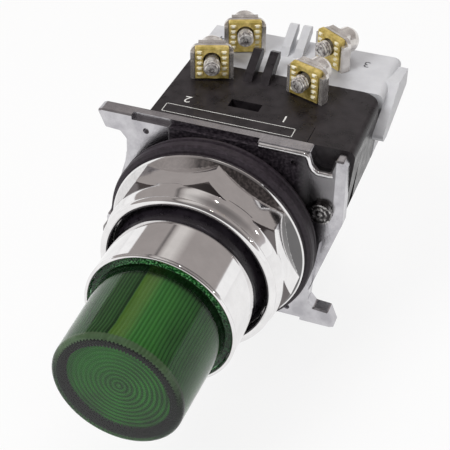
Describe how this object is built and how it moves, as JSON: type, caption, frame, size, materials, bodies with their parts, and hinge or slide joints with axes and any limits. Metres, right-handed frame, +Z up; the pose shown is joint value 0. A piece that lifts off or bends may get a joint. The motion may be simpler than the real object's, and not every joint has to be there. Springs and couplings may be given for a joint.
{
  "type": "illuminated push button",
  "caption": "Illuminated push button with chromed bezel, fluted green lens, mounting nut, gasket, flange plate, lamp light block and a contact block with screw terminals.",
  "frame": {"origin": "on the button's axis at the front face of the panel gasket, where the panel is clamped", "axes": "-Y out of the panel to the user along the button's axis, +Y to the back, +X to the right seen from the front, +Z up"},
  "size_m": [0.0524, 0.0841, 0.0538],
  "materials": {
    "cast_plate": "satin plated die-casting",
    "chrome": "mirror chrome",
    "black_rubber": "matte with a slight sheen",
    "green_lens": "translucent, fluted inside",
    "black_plastic": "satin",
    "grey_plastic": "satin",
    "white_plastic": "satin",
    "brass": "stamped",
    "nickel_steel": "nickel plated",
    "spring_steel": "drawn wire",
    "bulb_glass": "clear"
  },
  "bodies": {
    "operator": {"operator_housing": "cast_plate", "mounting_nut": "chrome", "panel_gasket": "black_rubber", "boot_seal": "black_rubber", "light_block_housing": "black_plastic", "light_block_cover": "black_plastic", "lamp_insulator": "black_plastic", "contact_block_housing": "grey_plastic", "contact_block_cover": "grey_plastic", "light_left_clamp": "brass", "light_right_clamp": "brass", "no_top_clamp": "brass", "nc_top_clamp": "brass", "nc_bottom_clamp": "brass", "no_bottom_clamp": "brass", "light_left_conductor": "brass", "light_right_conductor": "brass", "lamp_shell": "brass", "lamp_centre_contact": "brass", "no_top_fixed_contact": "brass", "nc_top_fixed_contact": "brass", "nc_bottom_fixed_contact": "brass", "no_bottom_fixed_contact": "brass", "light_left_clip": "nickel_steel", "light_right_clip": "nickel_steel", "no_top_clip": "nickel_steel", "nc_top_clip": "nickel_steel", "nc_bottom_clip": "nickel_steel", "no_bottom_clip": "nickel_steel", "terminal_washers": "nickel_steel", "terminal_screws": "nickel_steel", "mounting_screws": "nickel_steel", "lamp_base": "nickel_steel", "return_spring": "spring_steel", "no_contact_spring": "spring_steel", "nc_contact_spring": "spring_steel", "lamp_bulb": "bulb_glass"},
    "button": {"button_bezel": "chrome", "lens": "green_lens", "plunger_sleeve": "black_plastic", "retaining_ring": "nickel_steel"},
    "no_actuator": {"no_push_rod": "white_plastic", "no_plunger": "white_plastic", "no_bridge": "brass"},
    "nc_actuator": {"nc_push_rod": "white_plastic", "nc_plunger": "white_plastic", "nc_bridge": "brass"}
  },
  "joints": [
    {"name": "button_press", "type": "slide", "parent": "operator", "child": "button", "axis": [0, 1, 0], "range_m": [0, 0.005], "stiffness_N_per_m": 600, "springref_m": -0.006, "deforming": ["return_spring", "boot_seal"]},
    {"name": "no_stroke", "type": "slide", "parent": "operator", "child": "no_actuator", "axis": [0, 1, 0], "range_m": [0, 0.005], "stiffness_N_per_m": 100, "springref_m": -0.004, "deforming": ["no_contact_spring"]},
    {"name": "nc_stroke", "type": "slide", "parent": "operator", "child": "nc_actuator", "axis": [0, 1, 0], "range_m": [0, 0.005], "stiffness_N_per_m": 100, "springref_m": -0.004, "deforming": ["nc_contact_spring"]}
  ],
  "couplings": [
    {"joint": "no_stroke", "follows": "button_press", "ratio": 1},
    {"joint": "nc_stroke", "follows": "button_press", "ratio": 1}
  ]
}
